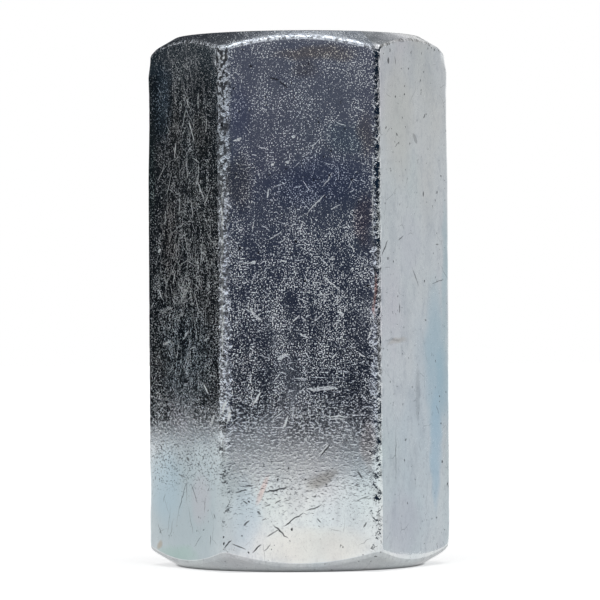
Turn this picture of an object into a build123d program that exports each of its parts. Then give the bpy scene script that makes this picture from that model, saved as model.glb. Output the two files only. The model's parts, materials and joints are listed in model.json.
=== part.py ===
from build123d import *
from math import radians, sqrt, tan
import os

# Coupling nut: a long hexagon nut, turned and tapped from one length of hexagon bar.
# It joins two threaded rods end to end, each screwed in from its own end.
# Millimetres. The thread axis is +Z, and the origin is the centre of the lower end face.
# Two of the six flats face along -Y and +Y.

# Hexagon bar
across_flats = 24.0
length = 48.0
corner_radius = 1.3  # rolled corner of the bar

# Turned chamfer at each end
chamfer_angle = 30.0  # between the cone and the end face
end_face_inset = 0.9  # from the flats in to the edge of the round end face
end_edge_radius = 0.5  # between the end face and the cone
flat_edge_radius = 0.4  # between the cone and the bar

# Metric coarse thread, held as its tapped core, which is what a rod or a gauge seats in
thread_diameter = 16.0
thread_pitch = 2.0
countersink_oversize = 1.0  # mouth diameter over the thread diameter
countersink_angle = 90.0  # included angle

# A basic metric profile cuts 5/8 of its sharp height off each side of the hole.
sharp_thread_height = thread_pitch * sqrt(3) / 2
core_radius = thread_diameter / 2 - 5 / 8 * sharp_thread_height


def hexagon_bar():
    """The blank as it comes off the bar, with rolled corners."""
    outline = RegularPolygon(radius=across_flats / 2, side_count=6, major_radius=False)
    outline = fillet(outline.vertices(), corner_radius)
    return extrude(outline, length)


def turned_envelope():
    """The solid of revolution that the lathe leaves around the bar: a cylinder that
    clears the corners, coned down at each end to the round end face."""
    outer_radius = across_flats / sqrt(3)
    face_radius = across_flats / 2 - end_face_inset
    cone_height = (outer_radius - face_radius) * tan(radians(chamfer_angle))
    profile = Polyline(
        (0, 0),
        (face_radius, 0),
        (outer_radius, cone_height),
        (outer_radius, length - cone_height),
        (face_radius, length),
        (0, length),
        close=True,
    )
    section = make_face(Plane.XZ * profile)
    face_edges = section.vertices().filter_by(lambda v: abs(v.X - face_radius) < 1e-6)
    section = fillet(face_edges, end_edge_radius)
    return revolve(section, Axis.Z)


def tapped_hole():
    """The core of the thread, right through, with a countersunk mouth at each end."""
    mouth_radius = (thread_diameter + countersink_oversize) / 2
    mouth_depth = (mouth_radius - core_radius) / tan(radians(countersink_angle / 2))
    core = extrude(Circle(core_radius), length)
    mouth = Cone(
        mouth_radius,
        core_radius,
        mouth_depth,
        align=(Align.CENTER, Align.CENTER, Align.MIN),
    )
    upper_mouth = mouth.mirror(Plane.XY).translate((0, 0, length))
    return core + mouth + upper_mouth


def coupling_nut():
    """The whole nut."""
    blank = hexagon_bar() & turned_envelope()
    cone_edges = blank.edges().filter_by(GeomType.HYPERBOLA)
    blank = fillet(cone_edges, flat_edge_radius)
    return blank - tapped_hole()


os.makedirs("parts", exist_ok=True)
export_step(coupling_nut(), "parts/coupling_nut.step")
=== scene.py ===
import json
import random
from math import atan2, ceil, copysign, cos, pi, radians, sin, tan

import bpy
from mathutils import Matrix, Vector, noise


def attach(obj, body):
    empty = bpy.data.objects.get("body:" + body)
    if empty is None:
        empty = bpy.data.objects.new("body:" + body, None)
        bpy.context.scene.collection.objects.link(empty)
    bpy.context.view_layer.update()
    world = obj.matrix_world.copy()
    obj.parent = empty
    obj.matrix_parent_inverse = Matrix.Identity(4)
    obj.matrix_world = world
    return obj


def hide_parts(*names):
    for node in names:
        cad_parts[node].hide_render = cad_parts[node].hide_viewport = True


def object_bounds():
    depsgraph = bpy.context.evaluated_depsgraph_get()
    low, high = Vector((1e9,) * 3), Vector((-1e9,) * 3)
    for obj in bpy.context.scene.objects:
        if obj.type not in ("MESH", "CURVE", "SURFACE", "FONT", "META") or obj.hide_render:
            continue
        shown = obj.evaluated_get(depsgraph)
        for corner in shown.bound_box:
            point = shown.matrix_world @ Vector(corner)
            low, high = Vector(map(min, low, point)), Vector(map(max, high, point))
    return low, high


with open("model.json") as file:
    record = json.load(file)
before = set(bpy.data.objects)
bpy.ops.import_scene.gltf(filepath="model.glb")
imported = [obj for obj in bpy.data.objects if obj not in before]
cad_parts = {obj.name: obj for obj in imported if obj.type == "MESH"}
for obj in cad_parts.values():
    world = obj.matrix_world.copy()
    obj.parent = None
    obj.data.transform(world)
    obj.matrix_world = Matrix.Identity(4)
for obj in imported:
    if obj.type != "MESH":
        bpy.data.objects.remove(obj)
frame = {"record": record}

# Zinc-plated coupling nut, standing on end. Metres; the thread axis is +Z.
# Sizes written in millimetres are multiplied by mm.
mm = 0.001
cadLow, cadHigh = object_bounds()


def linearColour(hexText):
    # sRGB hex to the linear values that Blender works in
    channels = [int(hexText[i:i + 2], 16) / 255 for i in (1, 3, 5)]
    return [c / 12.92 if c <= 0.04045 else ((c + 0.055) / 1.055) ** 2.4 for c in channels] + [1.0]


def addNode(material, kind, inputs=None, **settings):
    # inputs: socket name or number, then a value, a socket, or a node that gives its first output;
    # in a colour Mix, 6 and 7 are the two colours, and output 2 is what they give
    tree = material.node_tree
    node = tree.nodes.new("ShaderNode" + kind)
    for name, value in settings.items():
        setattr(node, name, value)
    for socket, source in (inputs or {}).items():
        if isinstance(source, bpy.types.Node):
            source = source.outputs[0]
        if isinstance(source, bpy.types.NodeSocket):
            tree.links.new(source, node.inputs[socket])
        else:
            node.inputs[socket].default_value = source
    return node


def smoothStep(low, high, value):
    share = min(1.0, max(0.0, (value - low) / (high - low)))
    return share * share * (3 - 2 * share)


def alongLine(stops, place):
    # straight-line steps between (place, value) pairs
    for (low, before), (high, after) in zip(stops, stops[1:]):
        if place <= high:
            return before + (after - before) * min(1.0, max(0.0, (place - low) / (high - low)))
    return stops[-1][1]


# The flats are numbered from the front one round to the left one, and each corner is the one
# to the right of its flat, looking at the flat from outside.
couplingNut = {
    "cornerRadius": 1.3 * mm,     # rolled corner of the hexagon bar
    "chamferAngle": radians(30),  # between the turned cone and the end face
    "endFaceInset": 0.9 * mm,     # from the flats in to the end face's edge
    "endEdgeRadius": 0.5 * mm,
    "flatEdgeRadius": 0.55 * mm,  # where the cone meets a flat
    "cornerEdgeRadius": 0.6 * mm,
    "threadDiameter": 16.0 * mm,
    "threadPitch": 2.0 * mm,
    "threadCrest": 1 / 4,         # shares of a pitch, ISO metric profile
    "threadRoot": 1 / 8,
    "mouthOversize": 1.0 * mm,    # countersink mouth over the thread diameter
    "mouthEdge": 0.08 * mm,
    "turnedTilt": (0.25, 0.9),    # radians from upright over which the turned finish sets in at the top
    "footTilt": (0.0, 0.15),      # and at the foot, where the edge is rubbed too and darkened as painted shade
    "offTheFlats": 50 * mm,       # keeps marks meant for the flats away from the turned ends
    "flatColumns": 36,
    "cornerColumns": 12,
    "wallRows": 150,
    "coneRows": 3,
    "arcRows": 6,
    "faceRows": 5,
    "boreShare": 3,               # outer columns to one bore column
    "threadRows": 16,             # rows to one pitch
    # what the finish is told about each point of the mesh, from 0 to 1
    "shares": ("cornerShare", "turnedShare", "etching", "skin"),
}

wear = {
    "seed": 11,
    "bruisesPerCorner": 60,
    "bruiseHalfWidth": (0.25 * mm, 0.65 * mm),
    "bruiseTallness": (0.7, 1.6),
    "bruiseDepth": (0.004 * mm, 0.022 * mm),
    "bruiseSpread": 0.35 * mm,    # to either side of the corner
    "hammerDepth": 0.014 * mm,    # fine unevenness of the corners
    "hammerSize": 0.9 * mm,
    "hammerFiner": 2.3,           # how much finer its second layer is
    "hammerFinerShare": 0.5,
    "hammerLevel": 0.5,           # how much of it presses in
    "waveDepth": 0.005 * mm,      # slow waviness of the rolled flats
    "waveSize": 6.0 * mm,
    "etching": (1.0, 0.25, 0.7, 0.9, 0.6, 0.75),  # of each flat
    # height and share of the etching, from the clean foot to the smoother top
    "etchingStops": [(6.5 * mm, 0.05), (10.0 * mm, 0.35), (13.0 * mm, 0.75), (16.0 * mm, 0.95),
                     (27.0 * mm, 1.0), (36.0 * mm, 0.8)],
    # height and share of the coarse pebbled skin
    "skinStops": [(3.0 * mm, 0.1), (6.5 * mm, 0.25), (9.0 * mm, 0.8), (12.5 * mm, 1.0), (15.5 * mm, 0.2)],
    # for each corner, at the foot then at the top: strength, and how far the battered band reaches
    # before and after the corner's middle
    "battering": [
        [(0.85, 0.85 * mm, 0.50 * mm), (0.45, 0.45 * mm, 0.50 * mm)],
        [(0.15, 0.3 * mm, 0.3 * mm), (0.15, 0.3 * mm, 0.3 * mm)],
        [(0.5, 0.7 * mm, 0.7 * mm), (0.5, 0.7 * mm, 0.7 * mm)],
        [(0.7, 0.8 * mm, 0.8 * mm), (0.7, 0.8 * mm, 0.8 * mm)],
        [(0.3, 0.5 * mm, 0.5 * mm), (0.3, 0.5 * mm, 0.5 * mm)],
        [(0.5, 0.55 * mm, 0.60 * mm), (1.0, 0.85 * mm, 0.75 * mm)],
    ],
    "batteringEdge": 0.7 * mm,    # over which the band fades out
    # height and share of the corners' battering
    "batteringStops": [(2.0 * mm, 0.35), (11.0 * mm, 0.5), (14.5 * mm, 0.7), (16.0 * mm, 1.0)],
    "rimBattering": 0.7,
    "rimTilt": (0.02, 0.2),       # radians from upright over which the rims' battering sets in
    "coneTilt": (0.6, 1.05),      # and over which it ends again on the cones
    "faceTilt": 0.5,              # radians from level within which less and less is pressed in
    "boreEtching": 0.3,
    # corner, height, half width, half height, depth
    "dents": [
        (5, 14.2 * mm, 0.75 * mm, 1.15 * mm, 0.03 * mm),
        (5, 2.3 * mm, 0.9 * mm, 0.7 * mm, 0.03 * mm),
        (5, 46.2 * mm, 0.7 * mm, 0.6 * mm, 0.09 * mm),
        (0, 46.4 * mm, 0.8 * mm, 0.6 * mm, 0.10 * mm),
        (0, 7.2 * mm, 0.6 * mm, 1.0 * mm, 0.03 * mm),
        (0, 27.0 * mm, 0.5 * mm, 0.9 * mm, 0.06 * mm),
        (4, 41.0 * mm, 3.0 * mm, 6.5 * mm, 0.10 * mm),
        (4, 46.2 * mm, 2.2 * mm, 1.7 * mm, 0.22 * mm),
        (4, 7.0 * mm, 2.2 * mm, 2.6 * mm, 0.07 * mm),
        (1, 41.2 * mm, 3.0 * mm, 6.5 * mm, 0.08 * mm),
        (1, 46.3 * mm, 2.2 * mm, 1.7 * mm, 0.24 * mm),
        (1, 1.6 * mm, 1.6 * mm, 1.4 * mm, 0.10 * mm),
    ],
}


def halfFlatWidth(p):
    return ((cadHigh.y - cadLow.y) / 2 - p["cornerRadius"]) * tan(pi / 6)


def flatPitch(p):
    # round the bar, from the middle of one flat to the middle of the next
    return 2 * halfFlatWidth(p) + p["cornerRadius"] * pi / 3


def barColumns(p):
    # Upright lines round the hexagon bar, from the rear left corner round by the front.
    apothem = (cadHigh.y - cadLow.y) / 2
    radius = p["cornerRadius"]
    halfFlat = halfFlatWidth(p)
    pitch = flatPitch(p)
    columns = []
    for step in range(-2, 4):
        facing = -pi / 2 + step * pi / 3
        outward = Vector((cos(facing), sin(facing), 0))
        along = Vector((-sin(facing), cos(facing), 0))
        for i in range(p["flatColumns"]):
            t = (2 * i / p["flatColumns"] - 1) * halfFlat
            columns.append({"wall": outward * apothem + along * t, "outward": outward, "side": step % 6,
                            "corner": (step if t > 0 else step - 1) % 6, "unrolled": step * pitch + t,
                            "pastCorner": t - pitch / 2 if t > 0 else t + pitch / 2})
        centre = outward * (apothem - radius) + along * halfFlat
        for i in range(p["cornerColumns"]):
            share = i / p["cornerColumns"]
            turn = facing + share * pi / 3
            direction = Vector((cos(turn), sin(turn), 0))
            past = (share - 0.5) * radius * pi / 3
            columns.append({"wall": centre + direction * radius, "outward": direction,
                            "side": (step if share < 0.5 else step + 1) % 6, "corner": step % 6,
                            "unrolled": (step + 0.5) * pitch + past, "pastCorner": past})
    return columns


def endProfile(p, wallRadius, length):
    # (radius, height, tilt of the surface) from the mouth out to the wall, for one column
    apothem = (cadHigh.y - cadLow.y) / 2
    faceRadius = apothem - p["endFaceInset"]
    angle = p["chamferAngle"]
    cornerReach = apothem / cos(pi / 6) - p["cornerRadius"] * (1 / cos(pi / 6) - 1)
    nearCorner = smoothStep(apothem, cornerReach, wallRadius)
    endArc = p["endEdgeRadius"]
    wallArc = p["flatEdgeRadius"] + (p["cornerEdgeRadius"] - p["flatEdgeRadius"]) * nearCorner
    inner = (p["threadDiameter"] + p["mouthOversize"]) / 2 + p["mouthEdge"]
    arcStart = faceRadius - endArc * tan(angle / 2)
    points = []
    for i in range(p["faceRows"]):
        points.append((inner + (arcStart - inner) * i / p["faceRows"], length, pi / 2))
    for i in range(p["arcRows"] + 1):
        tilt = pi / 2 - angle * i / p["arcRows"]
        points.append((arcStart + endArc * cos(tilt), length - endArc + endArc * sin(tilt), tilt))
    centreRadius = wallRadius - wallArc
    drop = (wallArc + (centreRadius - faceRadius) * sin(angle)) / cos(angle)
    centreHeight = length - drop
    coneTilt = pi / 2 - angle
    coneTop = points[-1]
    coneFoot = (centreRadius + wallArc * cos(coneTilt), centreHeight + wallArc * sin(coneTilt))
    for i in range(1, p["coneRows"]):
        share = i / p["coneRows"]
        points.append((coneTop[0] + (coneFoot[0] - coneTop[0]) * share,
                       coneTop[1] + (coneFoot[1] - coneTop[1]) * share, coneTilt))
    for i in range(p["arcRows"] + 1):
        tilt = coneTilt * (1 - i / p["arcRows"])
        points.append((centreRadius + wallArc * cos(tilt), centreHeight + wallArc * sin(tilt), tilt))
    return points


def columnPath(p, wallRadius, length):
    # one upright line, from the top mouth out, down the wall and in to the bottom mouth
    above = endProfile(p, wallRadius, length)
    edge = above[-1][1]
    wall = [(wallRadius, edge + (length - 2 * edge) * i / p["wallRows"], 0.0)
            for i in range(1, p["wallRows"])]
    below = [(radius, length - height, -tilt) for radius, height, tilt in reversed(above)]
    return above + wall + below


def makeBruises(w, corners, length):
    # Small knocks scattered up each corner, and the few larger dents listed.
    rng = random.Random(w["seed"])
    bruises = []
    for corner in corners:
        across = Vector((-corner.y, corner.x, 0)).normalized()
        for _ in range(w["bruisesPerCorner"]):
            height = Vector((0, 0, rng.uniform(0, length)))
            half = rng.uniform(*w["bruiseHalfWidth"])
            tall = half * rng.uniform(*w["bruiseTallness"])
            depth = rng.uniform(*w["bruiseDepth"])
            centre = corner + across * rng.gauss(0, w["bruiseSpread"]) + height
            bruises.append((centre, half, tall, depth))
    for index, height, half, tall, depth in w["dents"]:
        bruises.append((corners[index] + Vector((0, 0, height)), half, tall, depth))
    return bruises


def wearDepth(w, point, corner, bruises):
    # How far the surface is pressed in at a point.
    depth = w["waveDepth"] * (0.5 + 0.5 * noise.noise(point / w["waveSize"]))
    if corner > 0:
        finer = noise.noise(point / w["hammerSize"] * w["hammerFiner"])
        rough = noise.noise(point / w["hammerSize"]) + w["hammerFinerShare"] * finer
        depth += w["hammerDepth"] * corner * max(0.0, w["hammerLevel"] + rough)
    for centre, half, tall, deep in bruises:
        offset = point - centre
        near = (offset.x ** 2 + offset.y ** 2) / half ** 2 + offset.z ** 2 / tall ** 2
        if near < 1:
            depth += deep * (1 - near) ** 2
    return depth


def batteredShare(w, column, heightShare, tilt):
    # How battered the surface is: the corners fully, the rims partly, the flats and cones not at all.
    foot, top = w["battering"][column["corner"]]
    strength, before, after = [low + (high - low) * heightShare for low, high in zip(foot, top)]
    past = column["pastCorner"]
    reach = before if past < 0 else after
    fade = w["batteringEdge"] / 2
    corner = strength * (1 - smoothStep(reach - fade, reach + fade, abs(past)))
    rim = w["rimBattering"] * smoothStep(*w["rimTilt"], abs(tilt))
    return max(corner, rim) * (1 - smoothStep(*w["coneTilt"], abs(tilt)))


def threadRadius(p, coreRadius, phase):
    # Basic metric profile of a tapped hole. Phase counts pitches up from the middle of the groove.
    full = p["threadDiameter"] / 2
    away = abs(phase - round(phase))
    flank = (1 - p["threadCrest"] - p["threadRoot"]) / 2
    share = min(1.0, max(0.0, (away - p["threadRoot"] / 2) / flank))
    return full - (full - coreRadius) * share


def addPoint(shell, place, corner=0.0, turned=1.0, etching=0.0, skin=0.0):
    shell["points"].append(place)
    shell["cornerShare"].append(corner)
    shell["turnedShare"].append(turned)
    shell["etching"].append(etching)
    shell["skin"].append(skin)
    return len(shell["points"]) - 1


def addFace(shell, p, face, unrolled=None):
    # unrolled: distance round the bar, height, and distance off the flats, at each of its points
    shell["faces"].append(face)
    shell["unrolled"] += unrolled or [(0, 0, p["offTheFlats"])] * len(face)


def addRing(shell, p, w, columns, paths, row, bruises, length):
    # One ring of worn points round the bar.
    ring = []
    for column, path in zip(columns, paths):
        radius, height, tilt = path[row]
        place = column["wall"].normalized() * radius + Vector((0, 0, height))
        turned = smoothStep(*(p["turnedTilt"] if tilt > 0 else p["footTilt"]), abs(tilt))
        corner = batteredShare(w, column, height / length, tilt) * alongLine(w["batteringStops"], height)
        nearby = [(centre, half, tall, deep) for centre, half, tall, deep in bruises
                  if abs(centre.z - height) < tall]
        pressed = wearDepth(w, place, corner, nearby) * smoothStep(0, w["faceTilt"], pi / 2 - abs(tilt))
        place -= (column["outward"] * cos(tilt) + Vector((0, 0, sin(tilt)))) * pressed
        place.z = min(max(place.z, 0.0), length)
        etching = w["etching"][column["side"]] * alongLine(w["etchingStops"], height)
        ring.append(addPoint(shell, place, corner, turned, etching, alongLine(w["skinStops"], height)))
    return ring


def addOutside(shell, p, w, columns, length):
    # The flats, corners, cones and end faces, as rings from the top mouth to the bottom one.
    reach = max(column["wall"].length for column in columns)
    corners = [Vector((cos(k * pi / 3), sin(k * pi / 3), 0)) * reach for k in range(-1, 5)]
    bruises = makeBruises(w, corners, length)
    paths = [columnPath(p, column["wall"].length, length) for column in columns]
    rings = [addRing(shell, p, w, columns, paths, row, bruises, length) for row in range(len(paths[0]))]
    around = [column["unrolled"] for column in columns] + [columns[0]["unrolled"] + 6 * flatPitch(p)]
    for row in range(len(rings) - 1):
        for i in range(len(columns)):
            j = (i + 1) % len(columns)
            quad = [(row, i, i), (row + 1, i, i), (row + 1, j, i + 1), (row, j, i + 1)]
            face = [rings[r][c] for r, c, _ in quad]
            unrolled = [(around[a], paths[c][r][1],
                         copysign(shell["turnedShare"][rings[r][c]] * p["offTheFlats"], paths[c][r][2]))
                        for r, c, a in quad]
            addFace(shell, p, face, unrolled)
    return rings


def addBore(shell, p, w, angles, coreRadius, length):
    # Tapped hole: its rows follow the helix, and the countersinks cut them off at each end.
    count = len(angles)
    mouthRadius = (p["threadDiameter"] + p["mouthOversize"]) / 2
    rows = ceil(length / p["threadPitch"]) * p["threadRows"]

    def addWallPoint(angle, radius, height):
        place = Vector((cos(angle) * radius, sin(angle) * radius, height))
        return addPoint(shell, place, etching=w["boreEtching"])

    mouths = [[addWallPoint(angle, mouthRadius, height) for angle in angles] for height in (length, 0.0)]
    helix = {}

    def boreVertex(row, k):
        if k == count:
            row, k = row + p["threadRows"], 0
        height = p["threadPitch"] * (row / p["threadRows"] + angles[k] / (2 * pi))
        if height >= length - p["mouthEdge"]:
            return mouths[0][k]
        if height <= p["mouthEdge"]:
            return mouths[1][k]
        if (row, k) not in helix:
            countersink = mouthRadius - min(height, length - height)
            radius = max(threadRadius(p, coreRadius, row / p["threadRows"]), countersink)
            helix[row, k] = addWallPoint(angles[k], radius, height)
        return helix[row, k]

    for row in range(-p["threadRows"] - 1, rows + 1):
        for k in range(count):
            quad = [boreVertex(row, k), boreVertex(row + 1, k),
                    boreVertex(row + 1, k + 1), boreVertex(row, k + 1)]
            face = [vertex for i, vertex in enumerate(quad) if vertex != quad[i - 1]]
            if len(face) > 2 and len(set(face)) == len(face):
                addFace(shell, p, face)
    return mouths


def buildNut(p, w):
    length = cadHigh.z - cadLow.z
    mounts = {mount["name"]: mount for mount in frame["record"]["mounts"]}
    coreRadius = mounts["upper_thread"]["dims"]["r_mm"] * mm
    columns = barColumns(p)
    shell = {name: [] for name in ("points", "faces", "unrolled", *p["shares"])}
    rings = addOutside(shell, p, w, columns, length)

    # the bore has one column to every few outer ones, begun at the lowest angle
    share = p["boreShare"]
    bearings = [atan2(column["wall"].y, column["wall"].x) % (2 * pi) for column in columns[::share]]
    first = bearings.index(min(bearings))
    mouths = addBore(shell, p, w, bearings[first:] + bearings[:first], coreRadius, length)
    for mouth, ring, order in ((mouths[0], rings[0], 1), (mouths[1], rings[-1], -1)):
        for k in range(len(mouth)):
            start = (first + k) * share
            outer = [ring[(start + n) % len(ring)] for n in range(share + 1)]
            addFace(shell, p, (mouth[k], *outer, mouth[(k + 1) % len(mouth)])[::order])

    mesh = bpy.data.meshes.new("couplingNut")
    mesh.from_pydata(shell["points"], [], shell["faces"])
    for name in p["shares"]:
        mesh.attributes.new(name, "FLOAT", "POINT").data.foreach_set("value", shell[name])
    unrolled = [value for corner in shell["unrolled"] for value in corner]
    mesh.attributes.new("unrolled", "FLOAT_VECTOR", "CORNER").data.foreach_set("vector", unrolled)
    mesh.shade_smooth()
    piece = bpy.data.objects.new("zincCouplingNut", mesh)
    bpy.context.scene.collection.objects.link(piece)
    return piece


nutPiece = buildNut(couplingNut, wear)
print("coupling nut mesh:", len(nutPiece.data.polygons), "faces")


# Bright zinc with a clear blue passivation. Colours are the metal's own; depths, sizes and
# places are in millimetres, as the material works in millimetres.
zincFinish = {
    "flatPitch": flatPitch(couplingNut) / mm,
    "shares": couplingNut["shares"],
    "silver": "#D8DBDB",
    "roughness": 0.055,
    # cloudy tints of the passivation film, then the fine mottling of the zinc: colour, size,
    # strength, offset of the pattern
    "tints": [
        ("#A9C0CC", 13.0, 0.45, 0),
        ("#CBBFC8", 8.0, 0.35, 31),
        ("#B9CCC6", 10.0, 0.35, 62),
        ("#CFC7B8", 15.0, 0.45, 93),
        ("#AAB0B6", 2.2, 0.30, 124),
        ("#9CA1A8", 0.5, 0.28, 155),
        ("#8E939A", 0.16, 0.25, 186),
    ],
    "tintDetail": 3.0,
    "tintTallness": 1.6,
    "tintRange": (0.48, 0.74),
    "haze": {"size": (4.0, 4.0, 7.0), "detail": 3.0, "low": 0.42, "high": 0.7, "offset": 7},
    "hazeRoughness": 0.16,
    "hazeShare": 0.5,          # away from the placed areas
    # fine etched specks, drawn a little coarser than the real ones so that they show
    "specks": {"size": (0.12, 0.12, 0.12), "detail": 2.0, "offset": 0},
    "speckPatches": {"size": (1.3, 1.3, 2.4), "detail": 4.0, "low": 0.25, "high": 0.7, "offset": 3},
    "leastSpeck": 0.4,
    "speckCrowding": 0.164,    # how far full etching lowers the range over which they appear
    "speckRange": (0.7, 0.78),
    "faintSpeck": 0.7,
    "speckDepth": 0.007,
    "speckRoughness": 0.55,
    "speckShine": 1.0,         # of the scratches' colour
    "brokenRange": (0.38, 0.56),  # of the specks' grain, over which the scratches come through
    "brokenLeast": 0.4,
    "scratchRoughness": 0.7,
    "scratchDepth": 0.006,
    # short scratches, one to a cell: cell size, half length and half width as shares of it, how many
    # of the cells have one
    "scratches": [
        {"cell": 1.7, "halfLength": 0.44, "halfWidth": 0.022, "kept": 0.35, "strength": 1.0},
        {"cell": 0.8, "halfLength": 0.42, "halfWidth": 0.045, "kept": 0.3, "strength": 0.9},
        {"cell": 0.42, "halfLength": 0.36, "halfWidth": 0.09, "kept": 0.3, "strength": 0.8},
    ],
    "scratchCore": 0.4,        # share of a scratch's width that is full
    "faintScratch": 0.25,      # strength of the faintest one
    # thin wandering lines, mostly along the bar: width and height of the cells they border, and
    # the line's own width as a share of them
    "networks": [
        {"size": (1.0, 2.6), "width": 0.05, "offset": 4, "strength": 1.0},
        {"size": (1.9, 3.4), "width": 0.03, "offset": 40, "strength": 1.0},
    ],
    "linedCore": 0.5,          # share of a lined area that is full
    "lineBreaks": {"size": (0.9, 0.9, 1.6), "detail": 2.0, "low": 0.42, "high": 0.5, "offset": 12},
    "lineShare": 0.12,         # of the wandering lines, away from where they are thickest
    # streaks smeared along the bar, in which the specks crowd together
    "streaks": {"size": (0.6, 0.6, 1.6), "detail": 4.0, "low": 0.42, "high": 0.68, "offset": 70},
    "streakCrowding": 0.5,
    # cracks of the film: thin dark lines that hold dirt
    "cracks": {"size": (2.0, 3.0), "width": 0.014, "offset": 80, "strength": 0.6},
    "crackBreaks": {"size": (1.8, 1.8, 2.4), "detail": 2.0, "low": 0.54, "high": 0.66, "offset": 90},
    "dieLines": {"size": (0.3, 0.3, 10.0), "detail": 2.0, "low": 0.1, "high": 0.9, "offset": 9},
    "dieLineDepth": 0.001,
    # pebbled skin of the steel under the zinc
    "skin": {"size": (0.3, 0.3, 0.22), "detail": 4.0, "low": 0.52, "high": 0.74, "offset": 110},
    "skinDepth": 0.010,
    "wave": {"size": (3.0, 3.0, 6.0), "detail": 1.0, "low": 0.1, "high": 0.9, "offset": 5},
    "waveDepth": 0.002,
    # the battered corners: pebbly, with dirt and painted shade in between
    "battering": {"size": (0.32, 0.32, 0.38), "detail": 3.0, "low": 0.18, "high": 0.82, "offset": 2},
    "batteringDepth": 0.085,
    "gapRange": (0.57, 0.48),  # of the battering's height, over which the dirt and painted shade set in
    "batteringEdge": {"size": (0.6, 0.6, 1.0), "detail": 3.0, "low": 0.25, "high": 0.75, "offset": 17},
    "raggedRange": (0.8, 1.2),  # of this noise and the battering together, over which a band sets in
    "batteredRoughness": 0.14,
    "cornerSpecks": 0.4,       # of the specks that the flats have
    "dirtAndShadeColour": "#2A2C31",
    "cornerGapDirtAndShade": 0.95,
    "flecks": {"size": (0.35, 0.35, 0.5), "detail": 2.0, "low": 0.70, "high": 0.74, "offset": 50},
    "markSway": (0.9, 2.0, 0.5),   # size, detail and reach of the marks' unevenness
    "markCore": 0.6,
    "stainSway": (3.5, 2.0, 1.7),
    "stainCore": 0.1,
    "stainStrength": 0.75,
    "scratchAndHighlightColour": "#E4E8E9",
    "turnFeed": 0.16,          # to one turn of the tool
    "turnDepth": 0.002,
    "turnedRoughness": 0.24,
    "dulledAndShadedColour": "#7F8486",  # dulled by handling; at the foot also a painted shade
    "turnedShare": 0.5,
    "turnedClouds": {"size": (1.2, 1.2, 0.8), "detail": 4.0, "low": 0.4, "high": 0.65, "offset": 33},
    # heights between which the end it stands on gets evenly dulled and darkened as painted shade, and how
    # far
    "rubbedAndShadedFoot": (3.5, 2.0, 0.9),
    "etchedColour": "#A3B2D0",
    "etchedShare": 0.4,
}


def addGrain(material, place, pattern):
    # The plain grain of a pattern, drawn to its own size in each direction.
    spaced = addNode(material, "Mapping", {"Vector": place, "Location": [pattern["offset"]] * 3,
                                           "Scale": [1 / size for size in pattern["size"]]})
    return addNode(material, "TexNoise",
                   {"Vector": spaced, "Scale": 1.0, "Detail": pattern["detail"]})


def addCloud(material, place, cloud):
    # Soft-edged patches of the grain: 0 between them, 1 inside.
    grain = addGrain(material, place, cloud)
    return addNode(material, "MapRange", {0: grain, 1: cloud["low"], 2: cloud["high"]},
                   interpolation_type="SMOOTHSTEP", clamp=False)


def addSway(material, place, size, detail, reach):
    # Pulls the pattern's place about a little, so that nothing drawn on it is dead straight.
    field = addNode(material, "TexNoise", {"Vector": place, "Scale": 1 / size, "Detail": detail})
    centred = addNode(material, "VectorMath", {0: field.outputs["Color"], 1: (0.5, 0.5, 0.5)},
                      operation="SUBTRACT")
    return addNode(material, "VectorMath", {0: centred, 1: (reach, reach, 0), 2: place},
                   operation="MULTIPLY_ADD")


def addScratches(material, z, place, s):
    # One short scratch to a cell, at any angle, pointed at both ends.
    spaced = addNode(material, "VectorMath", {0: place, "Scale": 1 / s["cell"]}, operation="SCALE")
    cell = addNode(material, "TexVoronoi", {"Vector": spaced, "Scale": 1.0}, voronoi_dimensions="2D")
    offset = addNode(material, "VectorMath", {0: spaced, 1: cell.outputs["Position"]},
                     operation="SUBTRACT")
    chance = addNode(material, "SeparateColor", {0: cell.outputs["Color"]})
    angle = addNode(material, "Math", {0: chance.outputs[0], 1: pi}, operation="MULTIPLY")
    turned = addNode(material, "VectorRotate", {"Vector": offset, "Angle": angle},
                     rotation_type="Z_AXIS")
    fitted = addNode(material, "VectorMath",
                     {0: turned, 1: (1 / s["halfLength"], 1 / s["halfWidth"], 0)}, operation="MULTIPLY")
    reach = addNode(material, "VectorMath", {0: fitted}, operation="LENGTH").outputs["Value"]
    shape = addNode(material, "MapRange",
                    {0: reach, 1: 1.0, 2: z["scratchCore"], 3: 0.0, 4: s["strength"]})
    kept = addNode(material, "Math", {0: chance.outputs[1], 1: s["kept"]}, operation="LESS_THAN")
    faint = addNode(material, "MapRange", {0: chance.outputs[2], 3: z["faintScratch"]})
    shape = addNode(material, "Math", {0: shape, 1: faint}, operation="MULTIPLY")
    return addNode(material, "Math", {0: shape, 1: kept}, operation="MULTIPLY")


def addNetwork(material, place, n):
    # Thin lines that wander, branch and cross: the borders of cells stretched up the bar.
    width, height = n["size"]
    spaced = addNode(material, "Mapping", {"Vector": place, "Location": [n["offset"]] * 3,
                                           "Scale": (1 / width, 1 / height, 1)})
    cell = addNode(material, "TexVoronoi", {"Vector": spaced, "Scale": 1.0},
                   voronoi_dimensions="2D", feature="DISTANCE_TO_EDGE")
    return addNode(material, "MapRange",
                   {0: cell, 1: n["width"], 2: 0.0, 3: 0.0, 4: n["strength"]})


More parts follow.
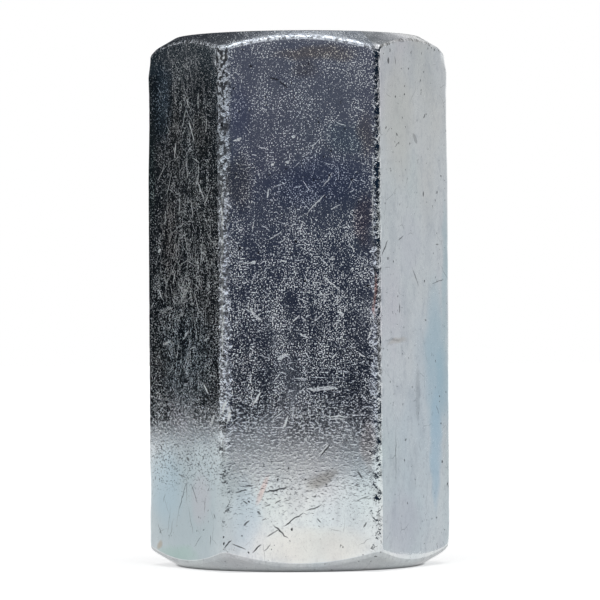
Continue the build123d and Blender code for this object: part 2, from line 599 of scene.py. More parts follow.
def addMark(material, z, place, mark, core):
    # An ellipse on one flat, full out to the core share of its reach and gone at its rim.
    side, across, height, halfLength, halfWidth, angle, strength = mark
    step = (side + 2) % 6 - 2  # unrolled, the last two flats lie to the left of the front one
    middle = (step * z["flatPitch"] + across, height, 0)
    turn = radians(angle)
    along = Vector((cos(turn), sin(turn), 0)) / halfLength
    beside = Vector((-sin(turn), cos(turn), halfWidth)) / halfWidth  # gone where it is off the flats
    offset = addNode(material, "VectorMath", {0: place, 1: middle}, operation="SUBTRACT")
    lengthways = addNode(material, "VectorMath", {0: offset, 1: along},
                         operation="DOT_PRODUCT").outputs["Value"]
    sideways = addNode(material, "VectorMath", {0: offset, 1: beside},
                       operation="DOT_PRODUCT").outputs["Value"]
    reach = addNode(material, "Math", {0: lengthways, 1: lengthways}, operation="MULTIPLY")
    reach = addNode(material, "Math", {0: sideways, 1: sideways, 2: reach}, operation="MULTIPLY_ADD")
    # the soft step needs no clamp, which leaves room in the shader for all the marks
    return addNode(material, "MapRange", {0: reach, 1: 1.0, 2: core ** 2, 3: 0.0, 4: strength},
                   interpolation_type="SMOOTHSTEP", clamp=False)


def addMarks(material, z, place, marks, core):
    # The strongest of them at each place.
    together = 0.0
    for mark in marks:
        one = addMark(material, z, place, mark, core)
        together = addNode(material, "Math", {0: one, 1: together}, operation="MAXIMUM")
    return together


# Marks listed on the flats: flat, distance right of its middle, height, half length,
# half width, angle in degrees, strength
handMarks = {
    # bright scuffs and scratches, and one painted highlight
    "scuffsAndHighlight": [
        (0, -3.9, 15.4, 0.95, 0.09, 53, 1.0), (0, -1.4, 13.3, 0.65, 0.14, 70, 1.0),
        (0, 3.15, 13.8, 1.1, 0.06, 0, 0.9), (0, 3.15, 13.6, 1.1, 0.05, 0, 0.8),
        (0, 1.9, 16.3, 1.7, 0.22, 2, 0.6), (0, -1.65, 19.1, 0.6, 0.18, 25, 0.7),
        (0, 2.95, 19.2, 0.45, 0.08, 53, 1.0), (0, 5.4, 19.2, 0.5, 0.08, -31, 0.8),
        (0, 3.25, 22.0, 0.55, 0.07, 39, 0.8), (0, 6.1, 21.0, 0.65, 0.12, 67, 0.9),
        (0, -0.4, 22.5, 0.45, 0.09, 53, 0.9), (0, 0.2, 22.5, 0.45, 0.09, -50, 0.7),
        (0, 0.2, 21.0, 0.45, 0.08, 5, 0.6), (0, -4.45, 17.1, 0.5, 0.13, 88, 0.7),
        (0, -4.3, 23.1, 0.55, 0.13, -62, 0.8), (0, -3.8, 22.5, 0.5, 0.12, -35, 0.8),
        (0, 1.3, 32.5, 1.55, 0.06, 46, 0.9), (0, 0.1, 30.5, 0.7, 0.07, 68, 0.8),
        (0, 2.8, 25.5, 1.2, 0.07, -40, 0.9), (0, 2.2, 24.6, 0.95, 0.06, 1, 0.9),
        (0, 3.25, 24.0, 0.5, 0.08, -83, 0.8), (0, 3.5, 22.9, 0.45, 0.14, -50, 0.8),
        (0, -2.2, 29.8, 0.9, 0.07, 33, 0.7), (0, -1.6, 29.3, 0.5, 0.06, 35, 0.7),
        (0, -4.6, 27.4, 0.6, 0.07, -3, 0.9), (0, -4.1, 27.4, 0.2, 0.2, 0, 0.9),
        (0, -1.5, 27.5, 0.3, 0.08, -15, 0.9), (0, -2.8, 33.6, 0.6, 0.08, 71, 0.8),
        (0, 6.3, 31.6, 0.35, 0.07, 3, 0.9), (0, 4.6, 28.7, 0.45, 0.08, -63, 0.8),
        (0, -2.95, 40.7, 0.55, 0.05, -49, 0.7), (0, -5.4, 38.3, 0.5, 0.16, 20, 0.9),
        (0, 2.5, 34.7, 0.9, 0.07, 58, 0.8), (0, 1.8, 33.0, 0.4, 0.08, 62, 0.6),
        (0, -0.6, 38.6, 0.22, 0.16, 0, 0.7), (0, -2.4, 36.1, 0.2, 0.16, 20, 0.8),
        (0, -1.1, 36.3, 0.22, 0.2, 0, 0.7), (0, 2.9, 27.8, 0.25, 0.22, 0, 0.6),
        (0, 4.6, 26.7, 0.22, 0.24, 0, 0.6), (0, 4.2, 29.8, 0.25, 0.2, 0, 0.5),
        (0, 2.0, 10.8, 0.8, 0.09, 47, 0.8),
        (5, 0.9, 41.8, 0.55, 0.09, -60, 0.8), (5, 2.8, 41.9, 0.9, 0.1, 84, 0.7),
        (5, 1.6, 39.2, 1.3, 0.1, -62, 1.0), (5, -1.5, 37.6, 0.8, 0.1, 80, 0.9),
        (5, 0.2, 40.4, 1.0, 0.07, 70, 0.9), (5, 1.1, 37.6, 1.1, 0.06, 35, 0.8),
        (5, 4.2, 39.6, 0.9, 0.07, 75, 0.9), (5, 2.4, 36.6, 0.9, 0.06, -20, 0.8),
        (5, -2.6, 34.6, 1.4, 0.06, 68, 0.9), (5, 4.4, 33.4, 1.2, 0.06, 58, 0.9),
        (5, -3.4, 31.6, 0.8, 0.08, 85, 0.8), (5, 0.4, 29.4, 1.4, 0.06, -72, 0.8),
        (5, 3.3, 28.6, 1.5, 0.07, 80, 0.9), (5, -1.8, 26.2, 0.9, 0.08, 60, 0.8),
        (5, 2.3, 24.0, 1.0, 0.07, -66, 0.8), (5, -3.2, 20.3, 0.9, 0.2, 12, 0.6),
        (5, 0.3, 21.0, 1.0, 0.16, 40, 0.6), (5, 4.0, 20.6, 0.8, 0.07, 20, 0.8),
        (5, -4.1, 35.6, 1.3, 0.06, 48, 0.8), (5, 0.7, 36.0, 1.1, 0.1, -86, 0.8),
        (5, 2.8, 35.7, 1.2, 0.1, 86, 0.7), (5, 3.1, 34.0, 1.7, 0.09, -56, 0.9),
        (5, -0.7, 32.8, 1.3, 0.16, 86, 0.7), (5, 1.6, 32.2, 1.3, 0.09, -80, 0.8),
        (5, -4.5, 28.6, 0.4, 0.18, 30, 1.0), (5, -4.4, 24.7, 0.9, 0.09, -48, 0.9),
        (5, 3.9, 16.2, 0.7, 0.14, -50, 0.9), (5, -0.6, 44.0, 0.2, 0.14, 0, 0.9),
        (5, 1.0, 19.9, 2.2, 0.12, -84, 0.5), (5, 5.0, 13.4, 0.8, 0.26, 60, 0.6),
        (5, -3.4, 23.3, 1.6, 0.3, 8, 0.5), (5, 0.0, 24.6, 1.9, 0.3, 38, 0.5),
        (5, 6.8, 31.0, 4.5, 0.12, 90, 0.9), (5, 6.75, 23.0, 5.0, 0.13, 90, 0.8),
        (5, 6.9, 14.7, 0.9, 0.13, 72, 1.0), (5, 7.3, 14.0, 1.0, 0.15, 84, 1.0),
        # the second one here, a bright blob at the top of the corner between the front and left flats, is
        # a painted highlight
        (0, 6.45, 33.0, 5.0, 0.05, 90, 0.8), (0, -6.75, 45.6, 0.5, 0.28, 10, 1.0),
        (0, 6.5, 24.0, 3.0, 0.05, 88, 0.6),
    ],
    # dark lines and pits that hold dirt
    "dirt": [
        (0, -2.2, 43.6, 0.5, 0.09, -20, 0.85), (0, -1.4, 43.1, 0.5, 0.08, -38, 0.8),
        (0, 2.1, 10.7, 0.85, 0.08, 47, 0.9), (0, -2.15, 7.35, 1.3, 0.09, 7, 0.9),
        (0, -4.65, 7.7, 0.45, 0.08, 3, 0.9), (0, -3.8, 5.3, 0.25, 0.08, -53, 0.8),
        (0, -3.35, 4.7, 0.25, 0.07, 40, 0.8), (0, -1.85, 3.65, 1.05, 0.09, -41, 0.9),
        (0, -0.8, 4.7, 1.25, 0.08, 34, 0.9), (0, 1.1, 5.7, 0.9, 0.08, 23, 0.8),
        (0, -4.0, 2.2, 0.6, 0.09, 42, 0.9), (0, -2.6, 3.5, 0.75, 0.08, 32, 0.7),
        (0, -1.3, 6.4, 0.45, 0.07, 31, 0.6), (0, 1.5, 4.6, 0.25, 0.08, -38, 0.8),
        (0, 5.4, 6.5, 0.75, 0.06, 25, 0.6),
        (5, -1.2, 11.0, 0.2, 0.12, 20, 0.8), (5, 0.6, 9.9, 0.35, 0.14, -30, 0.8),
        (5, -0.5, 8.3, 0.8, 0.06, -8, 0.6), (5, -3.9, 6.2, 0.5, 0.06, 60, 0.5),
        (5, -0.4, 6.6, 1.85, 0.06, 60, 0.7), (5, 1.7, 6.9, 1.2, 0.06, -57, 0.7),
        (5, 0.3, 7.2, 1.5, 0.05, 88, 0.6), (5, -2.6, 3.4, 1.2, 0.05, 65, 0.5),
        (5, 4.9, 9.4, 0.3, 0.09, 80, 0.8), (5, 4.2, 7.3, 0.25, 0.08, 40, 0.8),
        (5, 5.3, 5.0, 0.35, 0.08, -60, 0.8), (5, 3.3, 3.6, 0.2, 0.09, 20, 0.7),
        (5, 4.6, 2.8, 0.5, 0.07, 75, 0.7), (5, 2.4, 9.6, 0.2, 0.08, -20, 0.7),
        (5, -0.9, 5.6, 2.3, 0.04, 64, 0.5), (5, 1.0, 4.4, 1.4, 0.05, -70, 0.5),
        (5, -3.0, 4.2, 1.5, 0.04, 76, 0.5), (5, 2.3, 2.6, 1.0, 0.05, 38, 0.5),
        (5, -4.7, 3.4, 0.8, 0.05, -50, 0.6), (5, 3.6, 5.9, 0.9, 0.05, 82, 0.6),
        (0, -5.4, 7.2, 0.5, 0.07, 20, 0.8), (0, -5.0, 6.2, 0.35, 0.08, -35, 0.8),
        (0, -4.9, 4.4, 0.4, 0.07, 50, 0.8), (0, -3.0, 5.9, 0.3, 0.07, 30, 0.7),
        (0, -2.1, 6.2, 0.35, 0.06, 35, 0.7), (0, 5.2, 8.6, 0.45, 0.08, -50, 0.8),
        (0, 5.6, 4.2, 0.35, 0.08, 65, 0.8), (0, 4.9, 7.6, 0.3, 0.07, 10, 0.7),
        (1, -4.9, 45.3, 0.35, 0.22, 70, 0.8), (1, -3.6, 45.4, 0.5, 0.06, -70, 0.7),
        (1, -1.9, 42.4, 0.12, 0.1, 0, 0.9), (1, 1.9, 40.6, 0.25, 0.12, 40, 0.7),
        (1, 0.1, 38.6, 0.6, 0.35, -50, 0.35), (1, -3.3, 37.9, 0.6, 0.05, 30, 0.5),
        (1, 4.3, 33.8, 0.2, 0.12, 80, 0.8), (1, 1.7, 33.6, 0.3, 0.12, 85, 0.8),
        (1, -5.8, 28.6, 1.0, 0.1, 52, 0.8), (1, -2.7, 29.6, 0.6, 0.08, 25, 0.7),
        (1, 4.3, 29.1, 0.3, 0.09, 10, 0.6), (1, 0.1, 26.1, 1.2, 0.1, -52, 0.5),
        (1, 4.4, 25.7, 1.4, 0.06, 10, 0.6), (1, -3.0, 23.3, 0.55, 0.09, 85, 0.8),
        (1, -4.3, 20.5, 1.7, 0.16, 0, 0.25), (1, 4.2, 14.1, 0.7, 0.06, -60, 0.6),
        (1, 0.4, 15.6, 0.5, 2.9, 0, 0.2), (1, -3.9, 10.2, 0.08, 2.8, 0, 0.5),
        (1, -2.0, 11.5, 0.25, 0.12, 20, 0.7),
        (0, -6.6, 2.55, 0.6, 0.07, 42, 0.9), (0, -5.6, 2.35, 0.75, 0.07, -22, 0.8),
        (0, -3.1, 2.2, 0.5, 0.06, 45, 0.6),
    ],
    # where the wandering lines are thickest
    "lined": [(5, 0.5, 30.0, 20.0, 7.5, 90, 1.0), (0, 1.0, 21.0, 12.0, 3.0, 90, 0.15)],
    # cloudier, less mirror-like areas
    "haze": [
        (0, 0.5, 43.5, 9.5, 4.5, 0, 0.4), (0, -1.0, 38.5, 9.5, 5.0, 0, 0.3),
        (5, -3.6, 41.5, 1.7, 4.0, 0, 0.6), (5, -5.6, 36.0, 0.9, 7.0, 0, 0.5),
        (5, -1.5, 39.0, 0.9, 1.5, 0, 0.5), (5, -3.0, 20.5, 2.5, 0.9, 5, 0.5),
        (5, 0.6, 21.5, 1.5, 0.9, 40, 0.5), (5, 2.5, 19.0, 2.0, 1.2, 0, 0.4),
    ],
}

# Coloured patches of the film and old handling stains: as the marks, with the metal's colour there
stains = [
    ((0, 1.6, 34.5, 5.5, 2.8, 3, 0.7), "#7C8CB4"),
    ((0, -5.2, 41.0, 1.3, 3.2, 0, 0.6), "#8490B4"),
    ((0, 4.2, 38.3, 2.6, 2.0, -10, 0.55), "#9CB8C2"),
    ((0, 5.8, 38.5, 0.9, 2.6, 0, 0.55), "#B5A292"),
    ((0, -5.3, 34.5, 1.5, 3.6, 0, 0.55), "#746C60"),
    ((0, 5.6, 31.2, 1.1, 3.0, 0, 0.6), "#AA8C90"),
    ((0, 1.5, 45.8, 4.5, 0.9, 0, 0.6), "#C4B294"),
    ((0, 0.6, 44.4, 1.6, 1.0, 0, 0.5), "#80766C"),
    ((0, 6.0, 11.5, 0.8, 2.8, 0, 0.3), "#B08C7C"),
    ((0, 6.55, 24.5, 0.25, 2.4, 0, 0.8), "#B4644C"),
    ((0, -5.0, 5.3, 1.6, 4.0, 0, 0.5), "#AFC4D6"),
    ((0, 1.2, 2.2, 6.0, 2.2, 0, 0.5), "#DDD6C8"),
    ((0, -3.5, 7.3, 1.9, 0.28, 65, 0.6), "#D3AAA0"),
    ((0, 1.7, 8.3, 2.0, 0.8, 30, 0.85), "#8A8781"),
    ((5, 0.0, 5.5, 12.0, 9.0, 0, 1.2), "#9AA8AE"),
    ((5, -3.5, 7.5, 4.0, 4.5, 0, 0.3), "#90B6CB"),
    ((5, 3.0, 6.5, 2.5, 3.0, 0, 0.4), "#B3A8B0"),
    ((5, -1.5, 1.2, 4.5, 1.2, 0, 0.6), "#8FAEA2"),
    ((5, -4.7, 2.0, 0.8, 0.45, 35, 0.65), "#98805E"),
    ((5, -3.6, 18.6, 2.8, 2.2, 0, 0.6), "#A39C98"),
    ((5, 4.0, 22.0, 1.8, 3.6, 0, 0.6), "#A0A2A6"),
    ((5, 2.8, 43.4, 3.2, 2.2, 10, 0.7), "#A0A1A5"),
    ((5, 3.4, 39.0, 2.4, 3.2, 0, 0.7), "#A39F9C"),
    ((5, -1.6, 39.0, 1.6, 5.0, 0, 0.6), "#A39F9C"),
    ((5, -4.0, 42.0, 2.6, 4.5, 0, 0.9), "#8FAEC8"),
    ((5, -5.8, 35.5, 1.0, 6.0, 0, 0.6), "#9CC0C0"),
    ((5, -2.5, 29.0, 2.5, 6.0, 0, 0.5), "#A89890"),
    ((5, 0.5, 19.0, 6.5, 5.5, 0, 0.7), "#A3BBCB"),
    ((1, 3.8, 18.5, 2.6, 8.5, 0, 0.8), "#A4C0CD"),
    ((1, 5.4, 16.5, 1.8, 4.5, 0, 0.6), "#98B9C8"),
    ((1, 3.8, 10.5, 1.3, 6.5, 0, 0.7), "#98BDD2"),
    ((1, 5.9, 26.0, 0.8, 9.0, 0, 0.5), "#9FC0C8"),
    ((1, -3.0, 40.0, 3.5, 7.0, 0, 0.5), "#C9C6BC"),
    ((1, -1.0, 29.0, 2.5, 3.5, 0, 0.35), "#BFC0CC"),
    ((1, -3.5, 20.5, 2.2, 0.35, 0, 0.5), "#AC9F8E"),
    ((1, -2.5, 4.0, 4.5, 3.5, 0, 0.45), "#BDB6C0"),
]


def addColour(material, z, place, layers, wornAndHighlit, dirtAndShade):
    # The film's soft tints and the mottling, the dulled ends with a painted shade at the foot, the
    # etching and its specks, the placed stains, and over them the scratches, one painted highlight,
    # and the dirt with painted shade between the corners' pebbles.
    colour = linearColour(z["silver"])
    low, high = z["tintRange"]
    for tint, size, strength, offset in z["tints"]:
        cloud = {"size": (size, size, size * z["tintTallness"]), "offset": offset,
                 "detail": z["tintDetail"], "low": low, "high": high}
        share = addCloud(material, place, cloud)
        share = addNode(material, "Math", {0: share, 1: strength}, operation="MULTIPLY")
        colour = addNode(material, "Mix", {0: share, 6: colour, 7: linearColour(tint)},
                         data_type="RGBA").outputs[2]
    height = addNode(material, "SeparateXYZ", {0: place}).outputs["Z"]
    above, below, rubAndShade = z["rubbedAndShadedFoot"]
    # the foot is darkened evenly: rubbed, and a painted shade where it stands on the floor
    rubbedAndShaded = addNode(material, "MapRange", {0: height, 1: above, 2: below, 4: rubAndShade})
    clouds = addCloud(material, place, z["turnedClouds"])
    dulledAndShaded = addNode(material, "Math", {0: clouds, 1: rubbedAndShaded}, operation="MAXIMUM")
    dulledAndShaded = addNode(material, "Math", {0: dulledAndShaded, 1: layers["turned"]}, operation="MULTIPLY")
    for share, strength, tint in ((dulledAndShaded, z["turnedShare"], z["dulledAndShadedColour"]),
                                  (layers["etching"], z["etchedShare"], z["etchedColour"]),
                                  (layers["specks"], z["speckShine"], z["scratchAndHighlightColour"])):
        share = addNode(material, "Math", {0: share, 1: strength}, operation="MULTIPLY")
        colour = addNode(material, "Mix", {0: share, 6: colour, 7: linearColour(tint)},
                         data_type="RGBA").outputs[2]
    swayed = addSway(material, layers["spread"], *z["stainSway"])
    for mark, tint in stains:
        share = addMark(material, z, swayed, mark, z["stainCore"])
        share = addNode(material, "Math", {0: share, 1: z["stainStrength"]}, operation="MULTIPLY")
        colour = addNode(material, "Mix", {0: share, 6: colour, 7: linearColour(tint)},
                         data_type="RGBA").outputs[2]
    colour = addNode(material, "Mix", {0: wornAndHighlit, 6: colour, 7: linearColour(z["scratchAndHighlightColour"])},
                     data_type="RGBA").outputs[2]
    return addNode(material, "Mix", {0: dirtAndShade, 6: colour, 7: linearColour(z["dirtAndShadeColour"])},
                   data_type="RGBA").outputs[2]


def addSpecks(material, z, place, grain, etching, lined):
    # Etched specks, in drifting patches and streaks, more and stronger where the metal is more etched.
    patches = addCloud(material, place, z["speckPatches"])
    patches = addNode(material, "MapRange", {0: patches, 3: z["leastSpeck"]})
    crowding = addNode(material, "Math", {0: patches, 1: etching}, operation="MULTIPLY")
    streaks = addCloud(material, place, z["streaks"])
    streaks = addNode(material, "Math", {0: streaks, 1: lined}, operation="MULTIPLY")
    crowding = addNode(material, "Math", {0: streaks, 1: z["streakCrowding"], 2: crowding},
                       operation="MULTIPLY_ADD")
    raised = addNode(material, "Math", {0: crowding, 1: z["speckCrowding"], 2: grain},
                     operation="MULTIPLY_ADD")
    low, high = z["speckRange"]
    specks = addNode(material, "MapRange", {0: raised, 1: low, 2: high},
                     interpolation_type="SMOOTHSTEP")
    strength = addNode(material, "MapRange", {0: etching, 3: z["faintSpeck"]})
    return addNode(material, "Math", {0: specks, 1: strength}, operation="MULTIPLY")


def addWornLines(material, z, place, swayed, lined, etching):
    # Short scratches all over and wandering lines along the bar, the strongest at each place.
    lines = 0.0
    for layer in z["scratches"]:
        one = addScratches(material, z, swayed, layer)
        lines = addNode(material, "Math", {0: one, 1: lines}, operation="MAXIMUM")
    breaks = addCloud(material, place, z["lineBreaks"])
    share = addNode(material, "MapRange", {0: lined, 3: z["lineShare"]})
    breaks = addNode(material, "Math", {0: breaks, 1: share}, operation="MULTIPLY")
    for layer in z["networks"]:
        one = addNetwork(material, swayed, layer)
        one = addNode(material, "Math", {0: one, 1: breaks}, operation="MULTIPLY")
        lines = addNode(material, "Math", {0: one, 1: lines}, operation="MAXIMUM")
    return addNode(material, "Math", {0: lines, 1: etching}, operation="MULTIPLY")


def addBatteredEdge(material, z, place, corner):
    # The battered bands end raggedly.
    ragged = addCloud(material, place, z["batteringEdge"])
    ragged = addNode(material, "Math", {0: ragged, 1: corner}, operation="ADD")
    low, high = z["raggedRange"]
    ragged = addNode(material, "MapRange", {0: ragged, 1: low, 2: high})
    return addNode(material, "Math", {0: ragged, 1: corner}, operation="MULTIPLY")


def addDirtAndShade(material, z, place, swayed, layers):
    # Dirt in the placed lines and pits, in a few cracks and flecks, and dirt with painted shade between
    # the corners' pebbles.
    dirtAndShade = addMarks(material, z, swayed, handMarks["dirt"], z["markCore"])
    cracks = addNetwork(material, swayed, z["cracks"])
    breaks = addCloud(material, place, z["crackBreaks"])
    cracks = addNode(material, "Math", {0: cracks, 1: breaks}, operation="MULTIPLY")
    high, low = z["gapRange"]
    # dark between the pebbles of the battered corners and rims: dirt, and painted shade in the hollows
    gapDirtAndShade = addNode(material, "MapRange", {0: layers["pebbles"], 1: high, 2: low})
    gapDirtAndShade = addNode(material, "Math", {0: gapDirtAndShade, 1: layers["corner"]}, operation="MULTIPLY")
    gapDirtAndShade = addNode(material, "Math", {0: gapDirtAndShade, 1: z["cornerGapDirtAndShade"]}, operation="MULTIPLY")
    for one in (cracks, gapDirtAndShade, addCloud(material, place, z["flecks"])):
        dirtAndShade = addNode(material, "Math", {0: dirtAndShade, 1: one}, operation="MAXIMUM")
    return dirtAndShade


def addTurning(material, z, place, turned):
    # Fine rings left by the chamfering tool, as a ripple of the distance from the axis.
    flat = addNode(material, "VectorMath", {0: place, 1: (1, 1, 0)}, operation="MULTIPLY")
    radius = addNode(material, "VectorMath", {0: flat}, operation="LENGTH").outputs["Value"]
    phase = addNode(material, "Math", {0: radius, 1: 2 * pi / z["turnFeed"]}, operation="MULTIPLY")
    rings = addNode(material, "Math", {0: phase}, operation="SINE")
    rings = addNode(material, "Math", {0: rings, 1: turned}, operation="MULTIPLY")
    return addNode(material, "Math", {0: rings, 1: z["turnDepth"]}, operation="MULTIPLY")


def addRelief(material, z, place, layers):
    # Layers of height in millimetres, each with its depth, on top of the turning rings.
    relief = addTurning(material, z, place, layers["turned"])
    skin = addCloud(material, place, z["skin"])
    skin = addNode(material, "Math", {0: skin, 1: layers["skin"]}, operation="MULTIPLY")
    for field, depth in ((layers["specks"], z["speckDepth"]), (layers["lines"], z["scratchDepth"]),
                         (layers["battered"], z["batteringDepth"]),
                         (addCloud(material, layers["spread"], z["dieLines"]), z["dieLineDepth"]),
                         (skin, z["skinDepth"]),
                         (addCloud(material, place, z["wave"]), z["waveDepth"])):
        relief = addNode(material, "Math", {0: field, 1: depth, 2: relief},
                         operation="MULTIPLY_ADD")
    return addNode(material, "Bump", {"Strength": 1.0, "Distance": mm, "Height": relief}).outputs[0]


def addGloss(material, z, place, layers, wornAndHighlit):
    # Each kind of wear has its own roughness, and the roughest one shows.
    haze = addCloud(material, place, z["haze"])
    haze = addNode(material, "Math", {0: haze, 1: z["hazeShare"]}, operation="MULTIPLY")
    swayed = addSway(material, layers["spread"], *z["stainSway"])
    placed = addMarks(material, z, swayed, handMarks["haze"], z["stainCore"])
    haze = addNode(material, "Math", {0: haze, 1: placed}, operation="MAXIMUM")
    gloss = addNode(material, "Math", {0: haze, 1: z["hazeRoughness"], 2: z["roughness"]},
                    operation="MULTIPLY_ADD")
    for field, roughness in ((layers["specks"], z["speckRoughness"]), (wornAndHighlit, z["scratchRoughness"]),
                             (layers["turned"], z["turnedRoughness"]),
                             (layers["corner"], z["batteredRoughness"])):
        one = addNode(material, "Math", {0: field, 1: roughness}, operation="MULTIPLY")
        gloss = addNode(material, "Math", {0: one, 1: gloss}, operation="MAXIMUM").outputs[0]
    return gloss


def addLayers(material, z, place, spread, swayed):
    # What has happened to each place on the surface, from 0 to 1.
    shares = {name: addNode(material, "Attribute", attribute_name=name).outputs["Fac"]
              for name in z["shares"]}
    corner = addBatteredEdge(material, z, place, shares["cornerShare"])
    pebbles = addCloud(material, place, z["battering"])
    battered = addNode(material, "Math", {0: pebbles, 1: corner}, operation="MULTIPLY")
    smooth = addNode(material, "MapRange", {0: corner, 3: 1.0, 4: z["cornerSpecks"]})
    etching = addNode(material, "Math", {0: shares["etching"], 1: smooth}, operation="MULTIPLY")
    lined = addMarks(material, z, spread, handMarks["lined"], z["linedCore"])
    grain = addGrain(material, place, z["specks"])
    low, high = z["brokenRange"]
    broken = addNode(material, "MapRange", {0: grain, 1: low, 2: high, 3: z["brokenLeast"]})
    return {"corner": corner, "pebbles": pebbles, "battered": battered, "broken": broken,
            "turned": shares["turnedShare"], "skin": shares["skin"], "etching": shares["etching"],
            "spread": spread, "specks": addSpecks(material, z, place, grain, etching, lined),
            "lines": addWornLines(material, z, place, swayed, lined, shares["etching"])}


def zincPlatedSteel(z):
    # Bright zinc over drawn steel: a slightly soft, cool grey mirror, broken up by etched specks
    # and scratches, with the faint blue, green and rose of the clear passivation.
    material = bpy.data.materials.new("zinc-plated steel, clear blue passivated")
    material.use_nodes = True
    shader = material.node_tree.nodes["Principled BSDF"]
    shader.inputs["Metallic"].default_value = 1.0
    objectPlace = addNode(material, "TexCoord").outputs["Object"]
    place = addNode(material, "VectorMath", {0: objectPlace, "Scale": 1 / mm}, operation="SCALE")
    flatPlace = addNode(material, "Attribute", attribute_name="unrolled").outputs["Vector"]
    spread = addNode(material, "VectorMath", {0: flatPlace, "Scale": 1 / mm}, operation="SCALE")
    swayed = addSway(material, spread, *z["markSway"])
    layers = addLayers(material, z, place, spread, swayed)
    scuffedAndHighlit = addMarks(material, z, swayed, handMarks["scuffsAndHighlight"], z["markCore"])
    wornAndHighlit = addNode(material, "Math", {0: layers["lines"], 1: scuffedAndHighlit}, operation="MAXIMUM")
    wornAndHighlit = addNode(material, "Math", {0: wornAndHighlit, 1: layers["broken"]}, operation="MULTIPLY")
    dirtAndShade = addDirtAndShade(material, z, place, swayed, layers)
    for socket, source in (("Base Color", addColour(material, z, place, layers, wornAndHighlit, dirtAndShade)),
                           ("Roughness", addGloss(material, z, place, layers, wornAndHighlit)),
                           ("Normal", addRelief(material, z, place, layers))):
        material.node_tree.links.new(source, shader.inputs[socket])
    return material


nutPiece.data.materials.append(zincPlatedSteel(zincFinish))
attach(nutPiece, "root")
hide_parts("coupling_nut")
print("coupling nut finish done")


# Plain white sweep, with cards that only the metal sees, as in a small product studio.
studio = {
    "floorSize": 2.4,
    "floorColour": "#F2F2F2",
    "floorRoughness": 0.9,
    "worldFill": 0.35,         # what the matt floor gets from the room
    # the floor's own light, so that it stays white up to the horizon: by distance, near then far
    "floorLift": (0.52, 0.85),
    "liftReach": (0.06, 0.6),
    "paintedShadowUnderNut": (11.05 * mm, 11.45 * mm),  # a painted shadow: from none of that light, under the nut, to all of it
    # bearing in degrees from +X, distance, width, bottom, top, colour at the bottom and at the top
    "cards": {
        "front foot flag": (270, 0.200, 0.34, 0.0, 0.0078, "#E6E7EA", "#10141D"),
        "front flag": (270, 0.262, 0.42, 0.0, 0.044, "#0B0F17", "#464C5C"),
        "front upper flag": (270, 0.262, 0.42, 0.044, 0.11, "#5B5E6B", "#74757F"),
        "left tall flag": (133, 0.30, 0.24, 0.055, 0.26, "#2C3439", "#3A4247"),
        "left foot flag": (150, 0.160, 0.20, 0.006, 0.009, "#E8EBED", "#111417"),
        "left rear flag": (150, 0.160, 0.20, 0.009, 0.052, "#111417", "#1C2124"),
        "left front flag": (207, 0.34, 0.27, 0.0, 0.16, "#16191F", "#1E2228"),
        "right rear card": (21, 0.065, 0.05, 0.0, 0.11, "#DEE3E8", "#D2CFCA"),
        "right foot card": (10, 0.028, 0.024, 0.0, 0.006, "#DEE3E8", "#DEE3E8"),
        "rear flag": (108, 0.46, 0.46, 0.0, 0.85, "#34383E", "#34383E"),
        "right upper flag": (58, 0.44, 0.34, 0.36, 0.85, "#8C8F92", "#8C8F92"),
        "right front flag": (332, 0.34, 0.36, 0.0, 0.25, "#1A2838", "#22303F"),
    },
    # place, size, radiance; a radiance of 1 shows as white in a mirror
    "softboxes": {
        "overhead softbox": ((0.0, -0.08, 0.42), (0.34, 0.28), 2.2),
    },
    "target": (0.0, 0.0, 0.03),  # what the softboxes face
}


def addStudioRays(material):
    # 1 for rays from the camera, a reflection or glass, 0 for the rest
    light = addNode(material, "LightPath")
    seen = addNode(material, "Math",
                   {0: light.outputs["Is Camera Ray"], 1: light.outputs["Is Glossy Ray"]},
                   operation="MAXIMUM")
    return addNode(material, "Math", {0: seen, 1: light.outputs["Is Transmission Ray"]},
                   operation="MAXIMUM")


def mattWhitePaper(s):
    # White sweep paper: no shine at all, with its own light so that it reads as plain white, and a
    # painted shadow ring where the nut stands, without that light.
    material = bpy.data.materials.new("matt white paper")
    material.use_nodes = True
    shader = material.node_tree.nodes["Principled BSDF"]
    shader.inputs["Base Color"].default_value = linearColour(s["floorColour"])
    shader.inputs["Roughness"].default_value = s["floorRoughness"]
    shader.inputs["Specular IOR Level"].default_value = 0.0
    shader.inputs["Emission Color"].default_value = (1, 1, 1, 1)
    place = addNode(material, "TexCoord").outputs["Object"]
    away = addNode(material, "VectorMath", {0: place}, operation="LENGTH").outputs["Value"]
    near, far = s["floorLift"]
    lift = addNode(material, "MapRange",
                   {0: away, 1: s["liftReach"][0], 2: s["liftReach"][1], 3: near, 4: far})
    # no glow under the nut and just round its foot: a painted shadow there
    outside = addNode(material, "MapRange", {0: away, 1: s["paintedShadowUnderNut"][0], 2: s["paintedShadowUnderNut"][1]})
    lift = addNode(material, "Math", {0: lift, 1: outside}, operation="MULTIPLY")
    glow = addNode(material, "Math", {0: addStudioRays(material), 1: lift}, operation="MULTIPLY")
    material.node_tree.links.new(glow.outputs[0], shader.inputs["Emission Strength"])
    return material


def makeFloor(s):
    mesh = bpy.data.meshes.new("floor")
    half = s["floorSize"] / 2
    corners = [(-half, -half, 0), (half, -half, 0), (half, half, 0), (-half, half, 0)]
    mesh.from_pydata(corners, [], [(0, 1, 2, 3)])
    mesh.materials.append(mattWhitePaper(s))
    floor = bpy.data.objects.new("floor", mesh)
    floor.location.z = cadLow.z
    bpy.context.scene.collection.objects.link(floor)


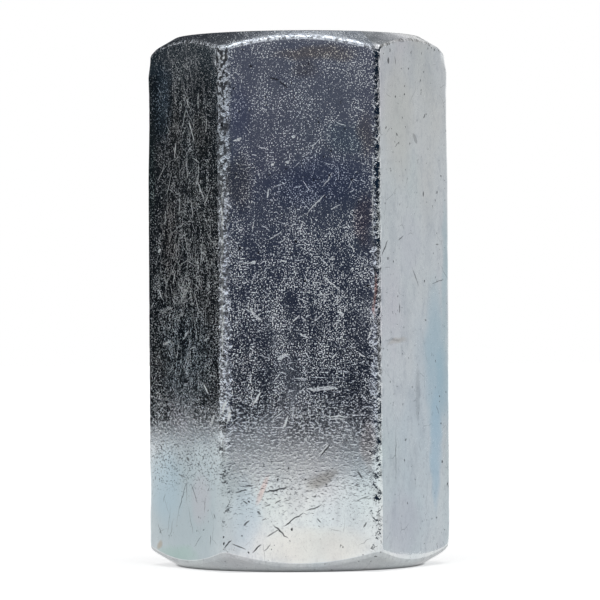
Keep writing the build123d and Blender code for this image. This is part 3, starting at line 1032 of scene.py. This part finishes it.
def cardBoard(name, lowColour, highColour):
    # Plain board, toned evenly from its bottom edge to its top one, for the metal to show.
    material = bpy.data.materials.new(name + " board")
    material.use_nodes = True
    tree = material.node_tree
    tree.nodes.remove(tree.nodes["Principled BSDF"])
    place = addNode(material, "TexCoord").outputs["Generated"]
    height = addNode(material, "SeparateXYZ", {0: place}).outputs["Z"]
    tone = addNode(material, "Mix",
                   {0: height, 6: linearColour(lowColour), 7: linearColour(highColour)},
                   data_type="RGBA")
    glow = addNode(material, "Emission", {"Color": tone.outputs[2], "Strength": 1.0})
    tree.links.new(glow.outputs[0], tree.nodes["Material Output"].inputs["Surface"])
    return material


def makeCard(name, bearing, distance, width, bottom, top, lowColour, highColour):
    mesh = bpy.data.meshes.new(name)
    half = width / 2
    corners = [(distance, -half, bottom), (distance, half, bottom),
               (distance, half, top), (distance, -half, top)]
    mesh.from_pydata(corners, [], [(0, 1, 2, 3)])
    mesh.transform(Matrix.Rotation(radians(bearing), 4, "Z"))
    mesh.materials.append(cardBoard(name, lowColour, highColour))
    card = bpy.data.objects.new(name, mesh)
    bpy.context.scene.collection.objects.link(card)
    card.visible_camera = False
    card.visible_diffuse = False
    card.visible_shadow = False


def makeSoftbox(name, place, size, radiance, target):
    light = bpy.data.lights.new(name, "AREA")
    light.shape = "RECTANGLE"
    light.size, light.size_y = size
    light.energy = radiance * pi * size[0] * size[1]
    box = bpy.data.objects.new(name, light)
    box.location = place
    box.rotation_euler = (Vector(target) - Vector(place)).to_track_quat("-Z", "Y").to_euler()
    box.visible_camera = False
    bpy.context.scene.collection.objects.link(box)


def makeWorld(s):
    world = bpy.data.worlds.new("studio")
    bpy.context.scene.world = world
    world.use_nodes = True
    background = world.node_tree.nodes["Background"]
    background.inputs["Color"].default_value = (1, 1, 1, 1)
    strength = addNode(world, "MapRange", {0: addStudioRays(world), 3: s["worldFill"], 4: 1.0})
    world.node_tree.links.new(strength.outputs[0], background.inputs["Strength"])


makeWorld(studio)
makeFloor(studio)
for name, card in studio["cards"].items():
    makeCard(name, *card)
for name, softbox in studio["softboxes"].items():
    makeSoftbox(name, *softbox, studio["target"])
print("studio done")


view = {
    "lens": 246.1,          # millimetres, as is the sensor
    "sensor": 36.0,
    "clipStart": 0.01,
    "distance": 374.4 * mm,
    "bearing": 0.73,        # degrees toward -X from the front flat
    "height": 23.8 * mm,
    "roll": 0.33,           # degrees
    "aim": (0.11 * mm, 24.10 * mm),  # across the view, and height
}


def makeCamera(v):
    data = bpy.data.cameras.new("camera")
    data.lens = v["lens"]
    data.sensor_width = v["sensor"]
    data.clip_start = v["clipStart"]
    camera = bpy.data.objects.new("camera", data)
    turn = radians(v["bearing"])
    camera.location = (-v["distance"] * sin(turn), -v["distance"] * cos(turn), v["height"])
    aim = Vector((v["aim"][0] * cos(turn), -v["aim"][0] * sin(turn), v["aim"][1]))
    look = (aim - camera.location).to_track_quat("-Z", "Y").to_matrix()
    camera.rotation_euler = (look @ Matrix.Rotation(radians(-v["roll"]), 3, "Z")).to_euler()
    bpy.context.scene.collection.objects.link(camera)
    bpy.context.scene.camera = camera


makeCamera(view)
bpy.context.scene.view_settings.view_transform = "Standard"
print("camera done")
